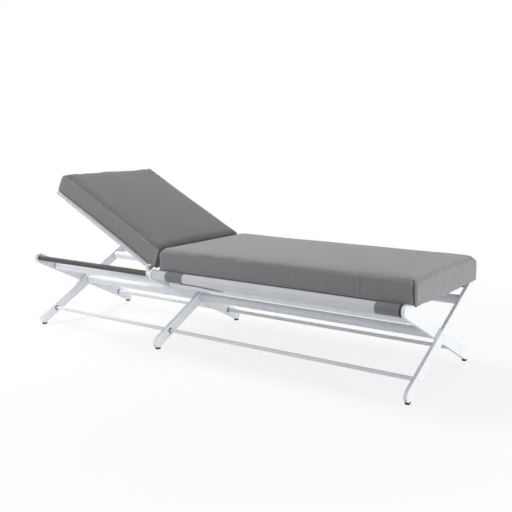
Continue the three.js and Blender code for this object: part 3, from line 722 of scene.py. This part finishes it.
def block(half, corner, top_edge, low_edge, crown, belly, droop, draw_in, shrink):
    """Rings of a cushion from the middle of its top to the middle of its underside. A ring is a
    rectangle with round corners, drawn in from every side by an inset: over the flats it shrinks
    to the middle, and round both arrises inset and height follow a quarter circle. The whole is
    made smaller by the shrink, so that the foam can fill it."""
    hx, hy, hz = half
    turn = np.linspace(0, math.pi / 2, 7)
    bend = corner * np.stack([np.cos(turn), np.sin(turn)], -1)
    arcs = [[sx * (hx - corner), sy * (hy - corner)] + (bend[::-1] if sx * sy < 0 else bend) * [sx, sy]
            for sx, sy in ((1, 1), (-1, 1), (-1, -1), (1, -1))]
    parts = []
    for k, arc in enumerate(arcs):
        share = np.linspace(0, 1, 40 if k % 2 == 0 else 22)[1:-1, None]
        parts += [arc, (1 - share) * arc[-1] + share * arcs[(k + 1) % 4][0]]
    outline = np.vstack(parts)
    flats, walls, least = 26, 6, 0.02
    top, low = np.linspace(math.pi / 2, 0, 12)[1:], np.linspace(0, -math.pi / 2, 7)[:-1]
    size = np.concatenate([np.linspace(least, 1, flats), np.ones(len(top) + walls + len(low)),
                           np.linspace(1, least, flats)])
    inset = np.concatenate([np.full(flats, top_edge), top_edge * (1 - np.cos(top)), np.zeros(walls),
                            low_edge * (1 - np.cos(low)), np.full(flats, low_edge)])
    high = np.concatenate([np.full(flats, hz), hz - top_edge + top_edge * np.sin(top),
                           np.linspace(hz - top_edge, low_edge - hz, walls + 2)[1:-1],
                           low_edge - hz + low_edge * np.sin(low), np.full(flats, -hz)])
    scale = (np.array([hx, hy]) - inset[:, None]) / [hx, hy] * size[:, None]
    flat = outline[None] * scale[:, None, :]
    places = np.concatenate([flat, np.broadcast_to(high[:, None, None], flat.shape[:2] + (1,))], -1)
    return shaped(places, half, crown, belly, droop, draw_in) * (1 - shrink / np.array(half))


def shaped(places, half, crown, belly, droop, draw_in):
    """Puts crown, fill, droop and drawn-in sides on a plain rounded block. The top crowns by
    (1-u2)(1-v2), the underside fills by 1-v2 and by what the sling presses flat again, the far
    foot corner droops, and the sides are drawn in between the corners by one less the square of
    the place along them."""
    hx, hy, hz = half
    x, y, z = np.moveaxis(places, -1, 0)
    u, v, fill = x / hx, y / hy, z / hz
    up = crown * (1 - u ** 2) * (1 - v ** 2) * fill
    drooping = 0.040
    down = (belly * (1 - v ** 2) + pressed + droop * rise((x - hx) / drooping + 1) * rise(v)) * fill
    z = z + np.where(fill > 0, up, down)
    corner = 0.02
    y = y * (1 - draw_in * np.clip(1 - (u * hx / (hx - corner)) ** 2, 0, None) / hy)
    x = x * (1 - draw_in * np.clip(1 - (v * hy / (hy - corner)) ** 2, 0, None) / hx)
    return np.stack([x, y, z], -1)


def finished_by(piece, kind, **settings):
    """Puts one modifier on a piece and takes its result as the piece's mesh."""
    step = piece.modifiers.new(kind.lower(), kind)
    for key, value in settings.items():
        setattr(step, key, value)
    result = bpy.data.meshes.new_from_object(piece.evaluated_get(bpy.context.evaluated_depsgraph_get()))
    piece.modifiers.clear()
    old, piece.data = piece.data, result
    bpy.data.meshes.remove(old)
    return piece


def filled(piece, voxel, cap):
    """Fills a cover with its foam: an even mesh, then twenty frames of cloth under pressure
    without gravity. The foam holds the cover out, so little of what moved inwards is kept, and
    no point moves further than the cap."""
    finished_by(piece, "REMESH", mode="VOXEL", voxel_size=voxel, adaptivity=0.0)
    start = points_of(piece.data)
    frames, held_out = 20, 0.85
    cloth = piece.modifiers.new("foam pressure", "CLOTH")
    cloth.settings.quality = 4
    cloth.settings.mass = 0.3
    cloth.settings.use_pressure = True
    cloth.settings.uniform_pressure_force = 4.0
    cloth.settings.effector_weights.gravity = 0.0
    cloth.collision_settings.use_collision = False
    cloth.point_cache.frame_start, cloth.point_cache.frame_end = 1, frames
    for moment in range(1, frames + 1):
        scene.frame_set(moment)
    puffed = piece.evaluated_get(bpy.context.evaluated_depsgraph_get()).to_mesh()
    moved = points_of(puffed) - start
    normals = points_of(piece.data, "normal")
    inward = np.minimum(np.einsum("ij,ij->i", moved, normals), 0)[:, None]
    moved -= held_out * inward * normals
    piece.modifiers.clear()
    scene.frame_set(1)
    far = np.linalg.norm(moved, axis=1)[:, None]
    moved *= np.minimum(1, cap / np.maximum(far, 1e-9))
    put(piece.data, start + moved)
    return piece


def round_block(places, half, top_edge, low_edge):
    """Where points lie on a rounded block, unrolled: metres from its middle height up or down
    over the arris, the same distance of that arris's seam, half way round it, and metres from the
    nearest corner line, less than 0 on the long sides."""
    hx, hy, hz = half
    x, y, z = places.T
    edge = np.where(z > 0, top_edge, low_edge)
    dx, dy, dz = np.abs(x) - (hx - edge), np.abs(y) - (hy - edge), np.abs(z) - (hz - edge)
    out = np.where((dx > 0) & (dy > 0), np.hypot(dx, dy), np.maximum(dx, dy))
    over = np.where(dz <= 0, np.abs(z), np.where(out <= 0, (hz - edge) + edge * math.pi / 2 - out,
                    (hz - edge) + edge * np.arctan2(np.maximum(dz, 0), np.maximum(out, 1e-9))))
    return over, (hz - edge) + edge * math.pi / 4, (dx - dy) / math.sqrt(2)


def bell(distance, width):
    return np.exp(-(distance / width) ** 2)


def line_distance(points, line):
    """The least distance of points from a line of straight stretches, in a plane."""
    least = np.full(len(points), 1e9)
    for a, b in zip(line[:-1], line[1:]):
        a, b = np.array(a), np.array(b)
        share = np.clip((points - a) @ (b - a) / ((b - a) @ (b - a)), 0, 1)[:, None]
        least = np.minimum(least, np.linalg.norm(points - a - share * (b - a), axis=1))
    return least


def ripples(lot, count, x, y, low, high):
    """A third of the sum of sine waves, their pitches along x and y and their phases drawn by lot."""
    a_lot, b_lot, c_lot = (lot.uniform(*ends, count) for ends in ((low[0], high[0]), (low[1], high[1]), (0, 6.3)))
    return sum(np.sin(x * a + y * b + c) for a, b, c in zip(a_lot, b_lot, c_lot)) / 3


def sewn(piece, half, top_edge, low_edge, foot_tuck, painted_top_shade, creases, seed):
    """Seams and soft folds of a filled cushion: a shallow valley along the panel seams, one beside
    the upright corners that the tuck makes deep at the foot end, small puckers that fade away from
    them, a wavy near arris, slow unevenness of the foam, and creases along given lines on the
    near side. The cover is pulled out to its upright corners. Keeps the distances to the seams
    and a painted shade for the fabric, which darkens the long sides and, by the given amount, the top and
    underside."""
    places = points_of(piece.data)
    normals = points_of(piece.data, "normal")
    over, seam, corner = round_block(places, half, top_edge, low_edge)
    to_seam = over - seam
    upright = rise((seam + 0.006 - over) / 0.012)
    x, y, z = places.T
    to_corner = np.where(upright > 0, corner + corner_seam + 0.0016 * np.sin(60 * z + 1.5), 1.0)
    near_corner = bell(corner, 0.07)
    tuck = upright * (0.22 + foot_tuck * (x > 0))
    lot = np.random.default_rng(seed)
    puckers = ripples(lot, 7, x, y, (-220, -220), (220, 220))
    slow = ripples(lot, 6, x + z, y, (-22, -26), (22, 26))
    rolls = ripples(lot, 5, x, y, (28, -60), (60, -28))

    depth = -(0.0007 + 0.0012 * near_corner) * bell(to_seam, 0.0045)
    depth -= tuck * (0.0042 * bell(to_corner, 0.0060) - 0.0012 * bell(to_corner - 0.012, 0.008))
    depth += (0.0007 + 0.0009 * near_corner) * puckers * bell(to_seam, 0.016)
    depth += np.where(y < 0, 0.0020, 0.0006) * rolls * bell(to_seam + 0.004, 0.022) * (z > 0)
    depth += np.where(to_seam > 0, 0.0013, 0.0009) * slow
    on_near = rise((-y - (half[1] - top_edge)) / 0.020)
    for line, deep, wide in creases:
        away = line_distance(np.stack([x, z], -1), line)
        depth -= on_near * deep * (bell(away, wide) - 0.35 * bell(away - 2.2 * wide, 1.3 * wide))

    to_post = np.hypot(np.abs(x) - half[0], np.abs(y) - half[1])
    pulled = 0.0045 * bell(to_post, 0.016) * rise((half[2] - 0.3 * top_edge - z) / 0.024)
    outwards = np.stack([np.sign(x), np.sign(y), -0.9 * rise((0.030 - half[2] - z) / 0.020)], -1)
    put(piece.data, places + normals * depth[:, None] + outwards * pulled[:, None])

    # Painted shade: how much darker each point is coloured, on the long sides and, by the given amount, on the
    # top and underside.
    shade = np.maximum(upright * rise(-corner / 0.010 - 0.5), painted_top_shade * (1 - upright))
    for name, values in (("to_seam", to_seam), ("to_corner", to_corner), ("near_corner", near_corner),
                         ("shade", shade), ("tuck", tuck)):
        piece.data.attributes.new(name, "FLOAT", "POINT").data.foreach_set("value", values.astype(np.float32))
    lay_weave(piece.data, places, to_seam, corner)
    return piece


def lay_weave(mesh, places, to_seam, corner):
    """A map in metres for each panel: x and y on top and below, x and z on the long sides, and
    y and z on the ends. A face belongs to the panel that most of its corners lie on."""
    corners = np.empty(len(mesh.loops), np.int32)
    mesh.loops.foreach_get("vertex_index", corners)
    starts, totals = (np.empty(len(mesh.polygons), np.int32) for _ in range(2))
    mesh.polygons.foreach_get("loop_start", starts)
    mesh.polygons.foreach_get("loop_total", totals)
    face = np.repeat(np.arange(len(starts)), totals)
    mean = lambda values: (np.add.reduceat(values[corners], starts) / totals)[face]
    flat_face, end_face = mean(to_seam) > 0, mean(corner) > 0
    x, y, z = places[corners].T
    laid = np.stack([np.where(flat_face | ~end_face, x, y), np.where(flat_face, y, z)], -1)
    mesh.uv_layers.new(name="weave").data.foreach_set("uv", laid.astype(np.float32).ravel())
    mesh.update()


# Painted shade: the panel seams, more strongly near the corners, and the tucked upright corners are coloured
# towards near black.
valley = (1 - abs(seam_up).between(0.0003, 0.0014)) * (corner_share * 0.28 + 0.06)
valley = valley.most((1 - abs(seam_corner).between(0.0004, 0.0045)) * corner_tuck * 0.75)
base_colour = cushion_cloth.shader.inputs["Base Color"].links[0].from_socket
# Painted shade: points marked by the shade attribute are blended towards a darker grey.
panels = cushion_cloth.blend(painted_panel_shade * 0.30, Tone(cushion_cloth, base_colour), ink(92, 92, 95))
cushion_cloth.give({"Base Color": cushion_cloth.blend(valley, panels, ink(44, 44, 46))})

seat_x0, seat_x1, seat_base = mid_x + 0.025, foot_x + 0.030, 0.3565
seat_half = ((seat_x1 - seat_x0) / 2, cushion_width / 2, cushion_thickness / 2)
seat_middle = np.array([(seat_x0 + seat_x1) / 2, 0, seat_base + cushion_thickness / 2])
seat_belly, crown, draw_in, shrink, most_swell = 0.021, 0.009, 0.004, 0.002, 0.005
seat_cushion = shell("grey_seat_cushion", block(seat_half, plan_corner, top_edge, low_edge, crown, seat_belly,
                                                0.006, draw_in, shrink), cushion_cloth)
filled(seat_cushion, 0.0086, most_swell)
finished_by(seat_cushion, "SUBSURF", levels=1, render_levels=1)


def on_seat(*points):
    """Points (x, z) of the lounger's near side, from the middle of the seat cushion."""
    return [(x - seat_middle[0], z - seat_middle[2]) for x, z in points]


seat_creases = [
    (on_seat((0.030, 0.4355), (0.075, 0.4315), (0.120, 0.4275), (0.22, 0.4405), (0.330, 0.4505)),
     0.0022, 0.006),
    (on_seat((0.735, 0.4405), (0.80, 0.4425), (0.887, 0.4465)), 0.0022, 0.005),
    (on_seat((0.755, 0.4245), (0.757, 0.3785)), 0.0016, 0.005),
    (on_seat((0.779, 0.4235), (0.780, 0.3755)), 0.0018, 0.005),
    (on_seat((0.860, 0.4165), (0.862, 0.3895)), 0.0012, 0.006),
]
sewn(seat_cushion, seat_half, top_edge, low_edge, 0.9, 0.0, seat_creases, 4)
x, y, z = (points_of(seat_cushion.data) + seat_middle).T
sling_z = seat_base - seat_belly * (1 - (y / seat_half[1]) ** 2)
z = np.maximum(z, sling_z + 0.0002)
edge_z = 0.3395 + 0.14 * (y - 0.04) ** 2 - 0.0045 * bell(y + 0.30, 0.05)
leg_z = seat_base + 0.0003 - 0.504 * np.clip(0.290 - np.abs(y), 0, 1)
past_leg = rise((x - foot_x - 0.0165) / 0.004)
past_sling = rise((x - foot_x + 0.025) / 0.030)
edge_z = np.maximum(edge_z, leg_z) * (1 - past_leg) + edge_z * past_leg
z = z + (edge_z - sling_z) * past_sling * np.clip(1 - (z - seat_base) / 0.045, 0, 1)
put(seat_cushion.data, np.stack([x, y, z], -1))
fix(seat_cushion, "root", "cushion_fabric", "seat_cushion")


# Straps: four bands of the cover fabric, sewn under the seat cushion, go round the sleeves and
# fasten on themselves. The near head strap ends in a narrow tail that hangs to a small clip.
strap_cloth, _, _ = woven("dark strap weave", ink(112, 114, 118), ink(131, 133, 137), yarn_pitch, 0.0003,
                          {"Sheen Weight": 0.15, "IOR": 1.45})
strap_radius, strap_wall = 0.0220, 0.0014
for side, sign in (("near", -1), ("far", 1)):
    for end in ("head", "foot"):
        low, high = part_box(f"{side}_strap_{end}")
        angle = np.linspace(math.radians(90), math.radians(358), 52)
        ring = np.stack([-rail_y + strap_radius * np.cos(angle), rail_z + strap_radius * np.sin(angle)], -1)
        tongue = np.array([(-0.258, 0.3500), (-0.270, 0.3520), (-0.280, 0.3536), (-0.290, 0.3544)])
        section = np.vstack([tongue, ring]) * [-sign, 1]
        start, stop = (np.full(len(section), edge.x) for edge in (low, high))
        band = strip(f"grey_{side}_strap_{end}", section, start, stop, strap_wall, strap_cloth, 12)
        fix(band, "root", "strap_webbing", f"{side}_strap_{end}")

low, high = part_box("near_strap_tail")
stations, sewn_down = 30, 0.023
run = np.linspace(0, 1, stations)
tail_x = low.x + 0.0005 + run * (high.x - low.x - 0.0005)
fall = np.clip((tail_x - (low.x + sewn_down)) / (high.x - low.x - sewn_down), 0, 1)
tail_z = high.z - 0.001 - (high.z - low.z - 0.002) * fall ** 2
profile = np.array([(-0.0055, -0.0007), (-0.0060, 0), (-0.0055, 0.0007),
                    (0.0055, 0.0007), (0.0060, 0), (0.0055, -0.0007)])
slope = np.gradient(tail_z, tail_x)
up = np.stack([-slope, 0 * slope, 0 * slope + 1], -1) / np.hypot(1, slope)[:, None]
rings = (np.stack([tail_x, np.full(stations, -rail_y), tail_z], -1)[:, None]
         + profile[None, :, :1] * [0, 1, 0] + profile[None, :, 1:] * up[:, None])
unrolled = np.stack([np.broadcast_to(flat, rings.shape[:2]) for flat in (profile[:, 0], tail_x[:, None])], -1)
unrolled = unrolled.reshape(-1, 2)
tail = shell("grey_strap_tail", rings, strap_cloth, unrolled=np.vstack([unrolled, unrolled[:1], unrolled[-1:]]))
fix(tail, "root", "strap_webbing", "near_strap_tail")
low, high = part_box("near_strap_buckle")
middle_z, clip_radius = (low.z + high.z) / 2, 0.008
clip = round_ended_bar("white_strap_clip", (low.x + clip_radius, -rail_y, middle_z),
                       (high.x - clip_radius, -rail_y, middle_z), (0, 0, 1), clip_radius, high.z - low.z,
                       0.0012, nylon, 12)
fix(clip, "root", "nylon", "near_strap_buckle")


# Back cushion: a second block cushion on the back sling, made as the seat's and leaned with the
# backrest. Its low end sags a little between the hinges, where nothing carries it, and leans
# back a little at the top, which leaves the seat cushion room when the backrest goes up.
back_x0, back_x1, back_base = -back_length - 0.011, 0.015, 0.0088
back_half = ((back_x1 - back_x0) / 2, cushion_width / 2, cushion_thickness / 2)
back_middle = np.array([(back_x0 + back_x1) / 2, 0, back_base + cushion_thickness / 2])
back_belly = 0.0040
back_cushion = shell("grey_back_cushion", block(back_half, plan_corner, top_edge, low_edge, crown, back_belly,
                                                0.0, draw_in, shrink), cushion_cloth)
filled(back_cushion, 0.0066, most_swell)
finished_by(back_cushion, "SUBSURF", levels=1, render_levels=1)
# The back cushion's top and underside take a strong painted shade here.
sewn(back_cushion, back_half, top_edge, low_edge, 0.0, 2.4, [], 11)
x, y, z = (points_of(back_cushion.data) + back_middle).T
z = np.maximum(z, back_base - back_belly * (1 - (y / back_half[1]) ** 2) + 0.0002)
sag = rise((x + 0.012) / 0.024) * (1 - rise((np.abs(y) - 0.262) / 0.018))
z = z - 0.013 * sag * np.clip(1 - (z - back_base) / 0.030, 0, 1)
leaned_in = (0.007 + 0.003 * np.clip(1 - (y / 0.27) ** 2, 0, 1)) * rise((z - 0.02) / 0.06)
x = x - leaned_in * rise((x - back_x1 + 0.06) / 0.06)
put(back_cushion.data, leaned(np.stack([x, y, z], -1)))
fix(back_cushion, "backrest", "cushion_fabric", "back_cushion")
